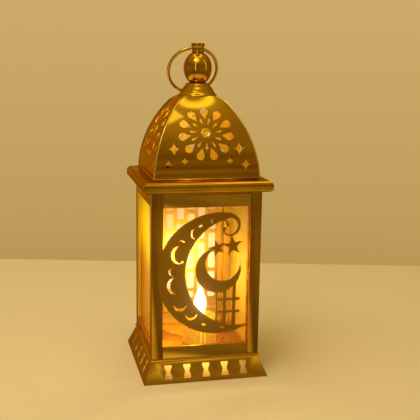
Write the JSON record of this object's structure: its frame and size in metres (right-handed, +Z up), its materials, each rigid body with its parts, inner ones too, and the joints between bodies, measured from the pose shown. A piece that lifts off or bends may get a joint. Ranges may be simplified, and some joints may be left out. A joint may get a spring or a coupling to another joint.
{
  "type": "fanous lantern",
  "caption": "Square tabletop lantern with a flared base, crescent fretwork front, hinged lattice door at the back, pierced dome, carrying ring and electric candle.",
  "frame": {"origin": "on the table at the middle of the square base", "axes": "+Z up, the crescent front faces -Y, +X to the right as seen from the front"},
  "size_m": [0.0934, 0.0934, 0.2428],
  "materials": {
    "gold_profile": "gold-anodised extrusion, polished",
    "gold_sheet": "polished sheet with fine brushing",
    "gold_fretwork": "cut sheet, satin",
    "gold_turned": "turned and polished",
    "hinge_brass": "satin",
    "zinc_steel": "zinc plated",
    "clear_glass": "clear",
    "milk_pane": "milky, translucent",
    "candle_gold": "metallised",
    "flame": "frosted, translucent",
    "lamp": "clear epoxy, lit",
    "board": "solder mask",
    "carrier": "moulded",
    "spring_brass": "plain",
    "cell_steel": "satin",
    "black_plastic": "moulded",
    "cover_plastic": "moulded"
  },
  "bodies": {
    "lantern": {"base_skirt": "gold_sheet", "floor_tray": "gold_sheet", "post_front_left": "gold_profile", "post_front_right": "gold_profile", "post_back_left": "gold_profile", "post_back_right": "gold_profile", "front_top_rail": "gold_profile", "front_bottom_rail": "gold_profile", "left_top_rail": "gold_profile", "left_bottom_rail": "gold_profile", "right_top_rail": "gold_profile", "right_bottom_rail": "gold_profile", "back_top_rail": "gold_profile", "back_bottom_rail": "gold_profile", "front_pane": "clear_glass", "left_pane": "clear_glass", "right_pane": "clear_glass", "moon_ornament": "gold_fretwork", "roof_plate": "gold_sheet", "eave_moulding": "gold_sheet", "dome_front": "gold_sheet", "dome_left": "gold_sheet", "dome_back": "gold_sheet", "dome_right": "gold_sheet", "dome_rosettes": "gold_fretwork", "dome_top_plate": "gold_sheet", "finial_collar": "gold_turned", "finial_egg": "gold_turned", "finial_cap": "gold_turned", "finial_rod": "zinc_steel", "finial_washer": "zinc_steel", "finial_nut": "zinc_steel", "base_screws": "zinc_steel", "roof_screws": "zinc_steel", "hinge_post_leaves": "hinge_brass", "hinge_pins": "zinc_steel", "hinge_post_rivets": "hinge_brass", "door_catch": "zinc_steel"},
    "ring": {"carry_ring": "gold_turned"},
    "door": {"door_frame": "gold_sheet", "door_lattice": "gold_fretwork", "door_pane": "milk_pane", "door_knob": "gold_turned", "hinge_door_leaves": "hinge_brass", "hinge_door_rivets": "hinge_brass"},
    "candle": {"candle_case": "candle_gold", "candle_flame": "flame", "candle_lamp": "lamp", "candle_board": "board", "candle_carrier": "carrier", "candle_contact": "spring_brass", "coin_cell": "cell_steel"},
    "switch": {"switch_slider": "black_plastic"},
    "cover": {"battery_cover": "cover_plastic"}
  },
  "joints": [
    {"name": "ring_swing", "type": "hinge", "parent": "lantern", "child": "ring", "pos_m": [0, 0, 0.2389], "axis": [1, 0, 0], "range_deg": [0, 300]},
    {"name": "door_swing", "type": "hinge", "parent": "lantern", "child": "door", "pos_m": [0.032, 0.0416, 0.077], "axis": [0, 0, -1], "range_deg": [0, 165]},
    {"name": "candle_lift", "type": "slide", "parent": "lantern", "child": "candle", "axis": [0, 0, 1], "range_m": [0, 0.05]},
    {"name": "switch_slide", "type": "slide", "parent": "candle", "child": "switch", "axis": [1, 0, 0], "range_m": [0, 0.0024]},
    {"name": "cover_twist", "type": "hinge", "parent": "candle", "child": "cover", "pos_m": [0.003, -0.005, 0.0163], "axis": [0, 0, 1], "range_deg": [0, 45]}
  ]
}
